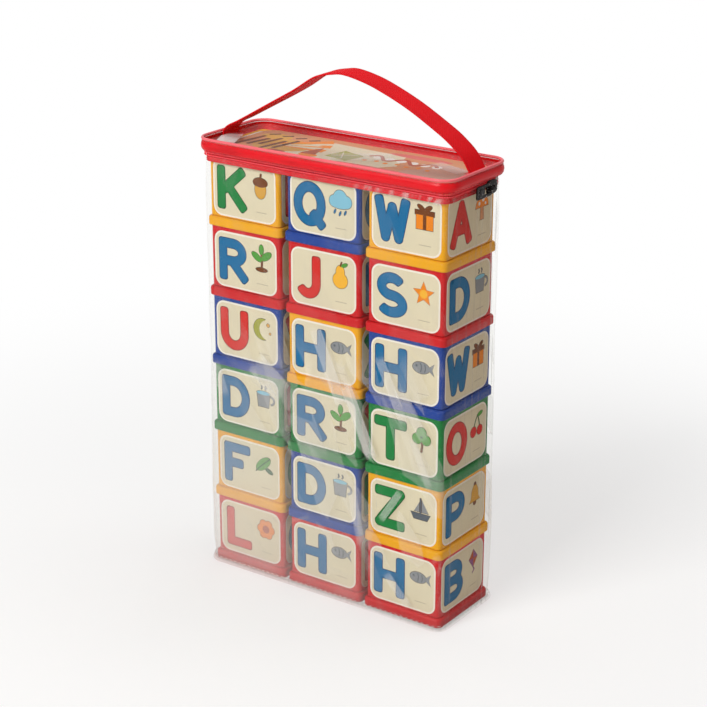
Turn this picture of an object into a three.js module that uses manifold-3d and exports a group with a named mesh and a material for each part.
// A set of stacking alphabet cubes in its clear zipped carry case.
// Millimetres, +Z up, front towards -Y. The origin is on the floor under the middle of the case.

import * as THREE from 'three';
import { mergeVertices } from 'three/addons/utils/BufferGeometryUtils.js';
import Module from 'manifold-3d';

// Fits that every seated pair shares
const SEAT_GAP = 0.3;
const CUT_OVERRUN = 1;

// Cubes: a hollow body on a flared base whose socket takes the top of the cube below
const LEVELS = 6;
const COLUMN_NAMES = ['left', 'middle', 'right'];
const LEVEL_PITCH = 49.5;
const COLUMN_GAP = 2.2;
const RIM_WIDTH = 62;
const RIM_CORNER = 4;
const RIM_BEVEL = 0.9;
const SOCKET_DEPTH = 5;
const BASE_PLATE = 1.4;
const PLUG_HEIGHT = 4;
const PLUG_WALL = 1.4;
const RIM_OVERHANG = 1.75;
const BODY_CORNER = 3.2;
const BODY_WALL = 1.6;
const BODY_BEVEL = 1;
const INNER_CORNER = 1.6;
const LABEL_MARGIN = 2.95;
const LABEL_CORNER = 7;
const LABEL_DEPTH = 0.5;
const LABEL_OVER_RIM = 0.9;
const LABEL_UNDER_SHOULDER = 2.9;
const CORNER_STEPS = 2;

// Case: clear walls and floor with a welted bottom edge. Offsets are measured out from the cube rims.
const CASE_CORNER = 5;
const FLOOR_THICKNESS = 1;
const FLOOR_OFFSET = 1.5;
const WALL_OFFSET = 1.2;
const WALL_THICKNESS = 0.6;
const WELT_WIDTH = 1.5;
const WELT_HEIGHT = 5;
const WELT_SWELL_SHARE = 0.7;
const CASE_STEPS = 4;

// Zip: two coils with their tapes, on the front and both sides, and a plain folding strip at the back
const ZIP_UNDER_CUBE_TOP = 4.9;
const COIL_HEIGHT = 1.2;
const COIL_DEPTH = 1.4;
const COIL_SLIT = 0.4;
const TAPE_THICKNESS = 0.6;
const TAPE_HEIGHT = 5;
const TAPE_INSET = 0.9;
const ZIP_END_INSET = 9;
const STOP_LENGTH = 2.6;
const FOLD_STRIP_THICKNESS = 0.6;

// Lid: a bulging red band round the edge, a piping on top, and a clear panel
const BAND_CORNER = 7;
const BAND_THICKNESS = 0.9;
const BAND_FOOT_OFFSET = 3.1;
const BAND_BELLY_OFFSET = 4.8;
const BAND_HEAD_OFFSET = 4.1;
const BAND_HEIGHT = 7;
const BAND_FOOT_SHARE = 0.22;
const BAND_SHOULDER_SHARE = 0.75;
const PIPING_RADIUS = 1.1;
const PIPING_SIDES = 8;
const PANEL_THICKNESS = 0.6;
const PANEL_DROP = 3.4;

// Insert card under the clear lid, lying on the top cubes
const CARD_THICKNESS = 0.4;
const CARD_LEFT_MARGIN = 9;
const CARD_RIGHT_MARGIN = 3;
const CARD_SIDE_MARGIN = 2;
const CARD_CORNER = 10;

// Carrying strap: flat webbing with its sewn ends inside the lid's piping
const STRAP_WIDTH = 18.5;
const STRAP_THICKNESS = 1.2;
const STRAP_RISE = 50.2;
const STRAP_TAB = 2.7;
const STRAP_STEPS = 30;
const STRAP_SHARES = [
  [-1, 0], [-0.96, 0.08], [-0.86, 0.18], [-0.67, 0.385], [-0.4, 0.68], [-0.25, 0.87],
  [-0.17, 0.94], [-0.08, 0.98], [0.01, 1], [0.14, 0.96], [0.29, 0.875],
  [0.52, 0.69], [0.75, 0.45], [0.85, 0.325], [0.94, 0.175], [1, 0],
];

// Zip slider on the right side, tucked in below the band, with a bridge and a swinging pull
const SLIDER_LENGTH = 12.5;
const SLIDER_HEIGHT = 10;
const SLIDER_PLATE = 1.2;
const SLIDER_CORNER = 1.6;
const JAW_THICKNESS = 2;
const BRIDGE_WIDTH = 2.6;
const BRIDGE_LENGTH = 7;
const BRIDGE_BAR = 1.1;
const BRIDGE_ROOM = 1.8;
const BRIDGE_SETBACK = 0.5;
const PULL_THICKNESS = 1;
const PULL_LENGTH = 18;
const PULL_WIDTH = 8.6;
const PULL_CORNER = 2;
const PULL_WINDOW_LENGTH = 7.5;
const PULL_WINDOW_WIDTH = 4.4;
const PULL_WINDOW_CORNER = 0.6;
const PULL_EYE_BAR = 1;

// Widths, heights and half sizes that follow from the values above
const COLUMN_PITCH = RIM_WIDTH + COLUMN_GAP;
const BODY_WIDTH = RIM_WIDTH - 2 * RIM_OVERHANG;
const LABEL_WIDTH = BODY_WIDTH - 2 * LABEL_MARGIN;
const RIM_HEIGHT = SOCKET_DEPTH + BASE_PLATE;
const BODY_TOP = LEVEL_PITCH + SOCKET_DEPTH - SEAT_GAP;
const BODY_FOOT = RIM_HEIGHT + SEAT_GAP;
const STACK_FLOOR = FLOOR_THICKNESS + SEAT_GAP;
const TOP_LEVEL = STACK_FLOOR + (LEVELS - 1) * LEVEL_PITCH;
const HALF_X = RIM_WIDTH / 2 + COLUMN_PITCH * (COLUMN_NAMES.length - 1) / 2;
const HALF_Y = RIM_WIDTH / 2;
const ZIP_END_Y = HALF_Y - ZIP_END_INSET;
const ZIP_LINE = TOP_LEVEL + BODY_TOP - ZIP_UNDER_CUBE_TOP;
const COIL_TOP = ZIP_LINE + COIL_SLIT / 2 + COIL_HEIGHT;
const COIL_FOOT = ZIP_LINE - COIL_SLIT / 2 - COIL_HEIGHT;
const WALL_TOP = COIL_FOOT - SEAT_GAP;
const BAND_FOOT = COIL_TOP + SEAT_GAP;
const BAND_TOP = BAND_FOOT + BAND_HEIGHT;
const PIPING_LINE = BAND_TOP + SEAT_GAP + PIPING_RADIUS;
const PIPING_TOP = PIPING_LINE + PIPING_RADIUS;
const PANEL_TOP = PIPING_TOP - PANEL_DROP;
const PIPING_INNER = BAND_HEAD_OFFSET - PIPING_RADIUS;
const STRAP_HALF_SPAN = HALF_X + PIPING_INNER - SEAT_GAP - STRAP_THICKNESS / 2;
const STRAP_FOLD_LINE = PIPING_TOP + STRAP_WIDTH / 2 + SEAT_GAP;

const COLOURS = {
  yellow: 0xf2b41c,
  blue: 0x1f3f98,
  red: 0xc8202c,
  green: 0x1f8a4c,
  vinyl: 0xe6ecee,
  trim: 0xd81e2c,
  webbing: 0xd0202a,
  coil: 0xb4202c,
  metal: 0x26221f,
  card: 0xd9b48a,
};
const LEVEL_COLOURS = [
  ['red', 'red', 'red'],
  ['yellow', 'blue', 'yellow'],
  ['green', 'green', 'green'],
  ['blue', 'yellow', 'blue'],
  ['red', 'red', 'red'],
  ['yellow', 'blue', 'yellow'],
];

const wasm = await Module();
wasm.setup();

function finish(colour, roughness, metalness = 0, opacity = 1) {
  return new THREE.MeshStandardMaterial({
    color: COLOURS[colour], roughness, metalness, opacity, transparent: opacity < 1,
  });
}

const finishes = {
  yellow: finish('yellow', 0.3),
  blue: finish('blue', 0.3),
  red: finish('red', 0.3),
  green: finish('green', 0.3),
  vinyl: finish('vinyl', 0.1, 0, 0.3),
  trim: finish('trim', 0.4),
  webbing: finish('webbing', 0.8),
  coil: finish('coil', 0.4),
  metal: finish('metal', 0.35, 0.8),
  card: finish('card', 0.7),
};

const assembly = new THREE.Group();

function place(name, geometry, material, parent = assembly) {
  const mesh = new THREE.Mesh(geometry, material);
  mesh.name = name;
  parent.add(mesh);
  return mesh;
}

// A rounded rectangle at one height, as points that run counter-clockwise seen from above
function roundedRing(halfX, halfY, corner, z, steps) {
  const points = [];
  const centres = [[1, 1], [-1, 1], [-1, -1], [1, -1]];
  centres.forEach(([signX, signY], quarter) => {
    for (let step = 0; step <= steps; step += 1) {
      const angle = (quarter + step / steps) * Math.PI / 2;
      points.push(new THREE.Vector3(
        signX * (halfX - corner) + corner * Math.cos(angle),
        signY * (halfY - corner) + corner * Math.sin(angle),
        z,
      ));
    }
  });
  return points;
}

function signedVolume(position, index) {
  const corners = [0, 1, 2].map(() => new THREE.Vector3());
  let volume = 0;
  for (let i = 0; i < index.length; i += 3) {
    corners.forEach((corner, k) => corner.fromArray(position, 3 * index[i + k]));
    volume += corners[0].dot(corners[1].cross(corners[2]));
  }
  return volume;
}

// A closed body through rings of equal point counts. Its ends are capped, unless the rings
// close on themselves. capPlane gives the two coordinates in which an end ring is flat.
function bodyThroughRings(rings, { loop = false, capPlane = ['x', 'y'] } = {}) {
  const count = rings[0].length;
  const position = rings.flatMap((ring) => ring.flatMap((point) => point.toArray()));
  const index = [];
  const strips = loop ? rings.length : rings.length - 1;
  for (let strip = 0; strip < strips; strip += 1) {
    const low = strip * count;
    const high = ((strip + 1) % rings.length) * count;
    for (let j = 0; j < count; j += 1) {
      const next = (j + 1) % count;
      index.push(low + j, low + next, high + next);
      index.push(low + j, high + next, high + j);
    }
  }
  if (!loop) {
    [[0, -1], [rings.length - 1, 1]].forEach(([ring, side]) => {
      const flat = rings[ring].map((point) => new THREE.Vector2(point[capPlane[0]], point[capPlane[1]]));
      const turn = Math.sign(THREE.ShapeUtils.area(flat)) * side;
      THREE.ShapeUtils.triangulateShape(flat, []).forEach(([a, b, c]) => {
        const face = turn > 0 ? [a, b, c] : [a, c, b];
        index.push(...face.map((corner) => ring * count + corner));
      });
    });
  }
  if (signedVolume(position, index) < 0) {
    index.reverse();
  }
  const geometry = new THREE.BufferGeometry();
  geometry.setAttribute('position', new THREE.Float32BufferAttribute(position, 3));
  geometry.setIndex(index);
  return geometry;
}

// A ring-shaped body: each profile point is an offset out from the cube rims and a height
function bodyRoundCase(profile, corner) {
  const rings = profile.map(([offset, z]) => roundedRing(
    HALF_X + offset, HALF_Y + offset, corner + offset, z, CASE_STEPS,
  ));
  return bodyThroughRings(rings, { loop: true });
}

// A strip that runs up the right side, round the front and down the left side
function bodyRoundFront(section, corner, endY) {
  const centreX = HALF_X - corner;
  const centreY = HALF_Y - corner;
  const stations = [{ x: HALF_X, y: endY, normal: [1, 0] }];
  [[1, 0], [-1, -1]].forEach(([signX, startQuarter]) => {
    for (let step = 0; step <= CASE_STEPS; step += 1) {
      const angle = (startQuarter - step / CASE_STEPS) * Math.PI / 2;
      const normal = [Math.cos(angle), Math.sin(angle)];
      stations.push({
        x: signX * centreX + corner * normal[0], y: -centreY + corner * normal[1], normal,
      });
    }
  });
  stations.push({ x: -HALF_X, y: endY, normal: [-1, 0] });
  const rings = stations.map(({ x, y, normal }) => section.map(([offset, z]) => new THREE.Vector3(
    x + normal[0] * offset, y + normal[1] * offset, z,
  )));
  return bodyThroughRings(rings, { capPlane: ['x', 'z'] });
}

function rectangle(inner, outer, low, high) {
  return [[inner, low], [outer, low], [outer, high], [inner, high]];
}

function roundedShape(halfWidth, halfHeight, corner, steps) {
  const ring = roundedRing(halfWidth, halfHeight, corner, 0, steps);
  return new THREE.Shape(ring.map((point) => new THREE.Vector2(point.x, point.y)));
}

function plate(shape, thickness, low) {
  const geometry = new THREE.ExtrudeGeometry(shape, { depth: thickness, bevelEnabled: false });
  geometry.translate(0, 0, low);
  return geometry;
}

function solidOf(geometry) {
  const bare = geometry.clone();
  bare.deleteAttribute('normal');
  bare.deleteAttribute('uv');
  const merged = mergeVertices(bare);
  return new wasm.Manifold(new wasm.Mesh({
    numProp: 3,
    vertProperties: new Float32Array(merged.attributes.position.array),
    triVerts: new Uint32Array(merged.index.array),
  }));
}

function geometryOf(solid) {
  const mesh = solid.getMesh();
  const geometry = new THREE.BufferGeometry();
  geometry.setAttribute('position', new THREE.BufferAttribute(new Float32Array(mesh.vertProperties), 3));
  geometry.setIndex(new THREE.BufferAttribute(new Uint32Array(mesh.triVerts), 1));
  return geometry;
}

function cut(geometry, tools) {
  let solid = solidOf(geometry);
  tools.forEach((tool) => {
    solid = solid.subtract(solidOf(tool));
  });
  return geometryOf(solid);
}

function join(geometries) {
  return geometryOf(geometries.map(solidOf).reduce((sum, solid) => sum.add(solid)));
}

// The cube's body: a cup, open below, with a shallow recess for a label on each side and on top
function cubeShell() {
  const outer = BODY_WIDTH / 2;
  const inner = outer - BODY_WALL;
  const ring = (half, corner, z) => roundedRing(half, half, corner, z, CORNER_STEPS);
  const cup = bodyThroughRings([
    ring(inner, INNER_CORNER, BODY_TOP - BODY_WALL),
    ring(inner, INNER_CORNER, BODY_FOOT),
    ring(outer, BODY_CORNER, BODY_FOOT),
    ring(outer, BODY_CORNER, BODY_TOP - BODY_BEVEL),
    ring(outer - BODY_BEVEL, BODY_CORNER - BODY_BEVEL, BODY_TOP),
  ]);
  const labelFoot = RIM_HEIGHT + LABEL_OVER_RIM;
  const labelHead = LEVEL_PITCH - LABEL_UNDER_SHOULDER;
  const labelHeight = labelHead - labelFoot;
  const recesses = [0, 1, 2, 3].map((side) => {
    const shape = roundedShape(LABEL_WIDTH / 2, labelHeight / 2, LABEL_CORNER, CORNER_STEPS);
    const recess = plate(shape, LABEL_DEPTH + CUT_OVERRUN, outer - LABEL_DEPTH);
    recess.rotateX(Math.PI / 2);
    recess.rotateZ(side * Math.PI / 2);
    recess.translate(0, 0, labelFoot + labelHeight / 2);
    return recess;
  });
  const topShape = roundedShape(LABEL_WIDTH / 2, LABEL_WIDTH / 2, LABEL_CORNER, CORNER_STEPS);
  recesses.push(plate(topShape, LABEL_DEPTH + CUT_OVERRUN, BODY_TOP - LABEL_DEPTH));
  return cut(cup, recesses);
}

// The cube's base: a floor plate with a flared rim, a socket below and a plug that holds the body
function cubeBase() {
  const rim = RIM_WIDTH / 2;
  const socket = BODY_WIDTH / 2 + SEAT_GAP;
  const plug = BODY_WIDTH / 2 - BODY_WALL - SEAT_GAP;
  const plugTop = RIM_HEIGHT + PLUG_HEIGHT;
  const ring = (half, corner, z) => roundedRing(half, half, corner, z, CORNER_STEPS);
  return bodyThroughRings([
    ring(socket, BODY_CORNER, SOCKET_DEPTH),
    ring(socket, BODY_CORNER, 0),
    ring(rim, RIM_CORNER, 0),
    ring(rim, RIM_CORNER, RIM_HEIGHT - RIM_BEVEL),
    ring(rim - RIM_BEVEL, RIM_CORNER - RIM_BEVEL, RIM_HEIGHT),
    ring(plug, INNER_CORNER, RIM_HEIGHT),
    ring(plug, INNER_CORNER, plugTop),
    ring(plug - PLUG_WALL, INNER_CORNER, plugTop),
    ring(plug - PLUG_WALL, INNER_CORNER, RIM_HEIGHT),
  ]);
}

function addCubes() {
  const shell = cubeShell();
  const base = cubeBase();
  LEVEL_COLOURS.slice(0, LEVELS).forEach((colours, level) => {
    COLUMN_NAMES.forEach((column, row) => {
      const cube = new THREE.Group();
      const middle = (COLUMN_NAMES.length - 1) / 2;
      cube.position.set((row - middle) * COLUMN_PITCH, 0, STACK_FLOOR + level * LEVEL_PITCH);
      const name = `cube_level${level + 1}_${column}`;
      place(`${name}_base`, base, finishes[colours[row]], cube);
      place(`${name}_body`, shell, finishes[colours[row]], cube);
      assembly.add(cube);
    });
  });
}

function addCaseShell() {
  const floor = roundedShape(
    HALF_X + FLOOR_OFFSET, HALF_Y + FLOOR_OFFSET, CASE_CORNER + FLOOR_OFFSET, CASE_STEPS,
  );
  place('case_floor', plate(floor, FLOOR_THICKNESS, 0), finishes.vinyl);

  const wallOuter = WALL_OFFSET + WALL_THICKNESS;
  const wall = bodyRoundCase(rectangle(WALL_OFFSET, wallOuter, STACK_FLOOR, WALL_TOP), CASE_CORNER);
  place('case_wall', wall, finishes.vinyl);

  const weltInner = wallOuter + SEAT_GAP;
  const welt = bodyRoundCase([
    [weltInner, 0],
    [weltInner + WELT_WIDTH * WELT_SWELL_SHARE, 0],
    [weltInner + WELT_WIDTH, WELT_HEIGHT * (1 - WELT_SWELL_SHARE)],
    [weltInner + WELT_WIDTH * WELT_SWELL_SHARE, WELT_HEIGHT * WELT_SWELL_SHARE],
    [weltInner, WELT_HEIGHT],
  ], CASE_CORNER);
  place('bottom_welt', welt, finishes.vinyl);
}

function addZip() {
  const coilInner = WALL_OFFSET;
  const coilOuter = coilInner + COIL_DEPTH;
  const lowerTape = rectangle(
    TAPE_INSET - TAPE_THICKNESS, TAPE_INSET, COIL_FOOT + COIL_HEIGHT - TAPE_HEIGHT, COIL_FOOT + COIL_HEIGHT,
  );
  place('lower_zip_tape', bodyRoundCase(lowerTape, CASE_CORNER), finishes.trim);

  const lowerCoil = rectangle(coilInner, coilOuter, COIL_FOOT, COIL_FOOT + COIL_HEIGHT);
  place('lower_zip_coil', bodyRoundFront(lowerCoil, CASE_CORNER, ZIP_END_Y), finishes.coil);
  const upperCoil = rectangle(coilInner, coilOuter, COIL_TOP - COIL_HEIGHT, COIL_TOP);
  place('upper_zip_coil', bodyRoundFront(upperCoil, CASE_CORNER, ZIP_END_Y), finishes.coil);

  [['right', 1], ['left', -1]].forEach(([side, sign]) => {
    const stop = new THREE.BoxGeometry(COIL_DEPTH, STOP_LENGTH, COIL_TOP - COIL_FOOT);
    stop.translate(
      sign * (HALF_X + coilInner + COIL_DEPTH / 2),
      ZIP_END_Y + SEAT_GAP + STOP_LENGTH / 2,
      (COIL_TOP + COIL_FOOT) / 2,
    );
    place(`zip_stop_${side}`, stop, finishes.metal);
  });

  const stripHalf = HALF_X - CASE_CORNER;
  const strip = new THREE.BoxGeometry(2 * stripHalf, FOLD_STRIP_THICKNESS, COIL_TOP - COIL_FOOT);
  strip.translate(0, HALF_Y + coilInner + FOLD_STRIP_THICKNESS / 2, (COIL_TOP + COIL_FOOT) / 2);
  place('back_fold_strip', strip, finishes.trim);
}

function addLid() {
  const middleLine = [
    [BAND_FOOT_OFFSET, BAND_FOOT],
    [BAND_BELLY_OFFSET, BAND_FOOT + BAND_FOOT_SHARE * BAND_HEIGHT],
    [BAND_BELLY_OFFSET, BAND_FOOT + BAND_SHOULDER_SHARE * BAND_HEIGHT],
    [BAND_HEAD_OFFSET, BAND_TOP],
  ];
  const side = (half) => middleLine.map(([offset, z]) => [offset + half, z]);
  const bandProfile = [...side(BAND_THICKNESS / 2), ...side(-BAND_THICKNESS / 2).reverse()];
  place('lid_band', bodyRoundCase(bandProfile, BAND_CORNER), finishes.trim);

  const piping = Array.from({ length: PIPING_SIDES }, (_, step) => {
    const angle = (step + 0.5) / PIPING_SIDES * 2 * Math.PI;
    return [
      BAND_HEAD_OFFSET + PIPING_RADIUS * Math.cos(angle),
      PIPING_LINE + PIPING_RADIUS * Math.sin(angle),
    ];
  });
  place('lid_piping', bodyRoundCase(piping, BAND_CORNER), finishes.trim);

  const panelHalfX = STRAP_HALF_SPAN - STRAP_THICKNESS / 2 - SEAT_GAP;
  const panelHalfY = HALF_Y + BAND_HEAD_OFFSET - BAND_THICKNESS / 2 - SEAT_GAP;
  const panel = roundedShape(panelHalfX, panelHalfY, BAND_CORNER, CASE_STEPS);
  place('lid_clear_panel', plate(panel, PANEL_THICKNESS, PANEL_TOP - PANEL_THICKNESS), finishes.vinyl);
}

function addInsertCard() {
  const left = -HALF_X + CARD_LEFT_MARGIN;
  const right = HALF_X - CARD_RIGHT_MARGIN;
  const card = roundedShape((right - left) / 2, HALF_Y - CARD_SIDE_MARGIN, CARD_CORNER, CASE_STEPS);
  const sheet = plate(card, CARD_THICKNESS, TOP_LEVEL + BODY_TOP + SEAT_GAP);
  sheet.translate((left + right) / 2, 0, 0);
  place('insert_card', sheet, finishes.card);
}

// Turns a line of points in the XZ plane into webbing: thick across the line and wide along Y.
// An end that is cut stands upright, so pieces that meet there share no X.
function webbing(line, cutAtStart, cutAtEnd) {
  const upper = [];
  const lower = [];
  line.forEach((point, i) => {
    const before = line[Math.max(i - 1, 0)];
    const after = line[Math.min(i + 1, line.length - 1)];
    const along = after.clone().sub(before).normalize();
    const upright = (i === 0 && cutAtStart) || (i === line.length - 1 && cutAtEnd);
    const across = upright
      ? new THREE.Vector2(0, STRAP_THICKNESS / 2 / Math.abs(along.x))
      : new THREE.Vector2(-along.y, along.x).multiplyScalar(STRAP_THICKNESS / 2);
    upper.push(point.clone().add(across));
    lower.push(point.clone().sub(across));
  });
  const shape = new THREE.Shape([...upper, ...lower.reverse()]);
  const geometry = new THREE.ExtrudeGeometry(shape, { depth: STRAP_WIDTH, bevelEnabled: false });
  geometry.translate(0, 0, -STRAP_WIDTH / 2);
  geometry.rotateX(Math.PI / 2);
  return geometry;
}

function addStrap() {
  const arch = new THREE.SplineCurve(STRAP_SHARES.map(([spanShare, riseShare]) => new THREE.Vector2(
    spanShare * STRAP_HALF_SPAN, PIPING_LINE + riseShare * STRAP_RISE,
  )));
  const line = arch.getSpacedPoints(STRAP_STEPS);
  const foldAt = (from, to) => {
    const share = (STRAP_FOLD_LINE - from.y) / (to.y - from.y);
    return from.clone().lerp(to, share);
  };
  const first = line.findIndex((point) => point.y > STRAP_FOLD_LINE);
  const last = line.findLastIndex((point) => point.y > STRAP_FOLD_LINE);
  const leftFold = foldAt(line[first - 1], line[first]);
  const rightFold = foldAt(line[last + 1], line[last]);
  const halfGap = new THREE.Vector2(SEAT_GAP / 2, 0);
  const clearOfFolds = (point) => [leftFold, rightFold].every(
    (fold) => Math.abs(point.x - fold.x) > STRAP_THICKNESS,
  );
  const tabDrop = new THREE.Vector2(0, PIPING_LINE - PANEL_TOP + STRAP_TAB);

  const leftLine = [line[0].clone().sub(tabDrop), ...line.slice(0, first).filter(clearOfFolds)];
  const leftEnd = webbing([...leftLine, leftFold.clone().sub(halfGap)], false, true);
  place('strap_end_left', leftEnd, finishes.webbing);

  const rightLine = [...line.slice(last + 1).filter(clearOfFolds), line.at(-1).clone().sub(tabDrop)];
  const rightEnd = webbing([rightFold.clone().add(halfGap), ...rightLine], true, false);
  place('strap_end_right', rightEnd, finishes.webbing);

  const middle = line.slice(first, last + 1).filter(clearOfFolds);
  const handleLine = [leftFold.clone().add(halfGap), ...middle, rightFold.clone().sub(halfGap)];
  place('strap_handle', webbing(handleLine, true, true), finishes.webbing);
}

// Shapes for the slider are drawn with Y to the right and Z up, then turned to stand off the right wall
function standOff(shape, thickness, offset) {
  const geometry = plate(shape, thickness, HALF_X + offset);
  geometry.rotateX(Math.PI / 2);
  geometry.rotateZ(Math.PI / 2);
  return geometry;
}

function addSlider() {
  const centreY = ZIP_END_Y - SLIDER_LENGTH / 2;
  const centreZ = BAND_FOOT - SEAT_GAP - SLIDER_HEIGHT / 2;
  const plateInner = WALL_OFFSET + COIL_DEPTH + SEAT_GAP;
  const plateOuter = plateInner + SLIDER_PLATE;
  const front = roundedShape(SLIDER_LENGTH / 2, SLIDER_HEIGHT / 2, SLIDER_CORNER, CORNER_STEPS);
  const slab = standOff(front, SLIDER_PLATE, plateInner);
  slab.translate(0, centreY, centreZ);

  const jawInner = WALL_OFFSET + WALL_THICKNESS + SEAT_GAP;
  const jawDepth = plateInner + SLIDER_PLATE / 2 - jawInner;
  const jaw = new THREE.BoxGeometry(jawDepth, SLIDER_LENGTH - 2 * SLIDER_CORNER, JAW_THICKNESS);
  jaw.translate(HALF_X + jawInner + jawDepth / 2, centreY, COIL_FOOT - SEAT_GAP - JAW_THICKNESS / 2);
  place('zip_slider', join([slab, jaw]), finishes.metal);

  const bridgeInner = plateOuter + SEAT_GAP;
  const bridgeOuter = bridgeInner + BRIDGE_ROOM + BRIDGE_BAR;
  const bridgeHead = BRIDGE_LENGTH / 2;
  const bow = new THREE.Shape();
  bow.moveTo(bridgeInner, -bridgeHead);
  bow.lineTo(bridgeOuter - BRIDGE_BAR, -bridgeHead);
  bow.lineTo(bridgeOuter, -bridgeHead + BRIDGE_BAR);
  bow.lineTo(bridgeOuter, bridgeHead - BRIDGE_BAR);
  bow.lineTo(bridgeOuter - BRIDGE_BAR, bridgeHead);
  bow.lineTo(bridgeInner, bridgeHead);
  bow.lineTo(bridgeInner, bridgeHead - BRIDGE_BAR);
  bow.lineTo(bridgeInner + BRIDGE_ROOM, bridgeHead - BRIDGE_BAR);
  bow.lineTo(bridgeInner + BRIDGE_ROOM, -bridgeHead + BRIDGE_BAR);
  bow.lineTo(bridgeInner, -bridgeHead + BRIDGE_BAR);
  const bridge = plate(bow, BRIDGE_WIDTH, centreZ - BRIDGE_WIDTH / 2);
  const bridgeFoot = centreY - SLIDER_LENGTH / 2 + BRIDGE_SETBACK;
  bridge.translate(HALF_X, bridgeFoot + bridgeHead, 0);
  place('zip_slider_bridge', bridge, finishes.metal);

  const tab = roundedShape(PULL_LENGTH / 2, PULL_WIDTH / 2, PULL_CORNER, CORNER_STEPS);
  const windowRing = roundedRing(
    PULL_WINDOW_LENGTH / 2, PULL_WINDOW_WIDTH / 2, PULL_WINDOW_CORNER, 0, CORNER_STEPS,
  );
  const windowShift = new THREE.Vector3(PULL_LENGTH / 2 - PULL_EYE_BAR - PULL_WINDOW_LENGTH / 2, 0, 0);
  tab.holes.push(new THREE.Path(windowRing.map((point) => point.add(windowShift))));
  const pull = standOff(tab, PULL_THICKNESS, bridgeInner + (BRIDGE_ROOM - PULL_THICKNESS) / 2);
  const eyeY = bridgeFoot + BRIDGE_BAR + SEAT_GAP + PULL_EYE_BAR;
  pull.translate(0, eyeY - PULL_LENGTH / 2, centreZ);
  place('zip_pull', pull, finishes.metal);
}

addCubes();
addCaseShell();
addZip();
addLid();
addInsertCard();
addStrap();
addSlider();

export default assembly;
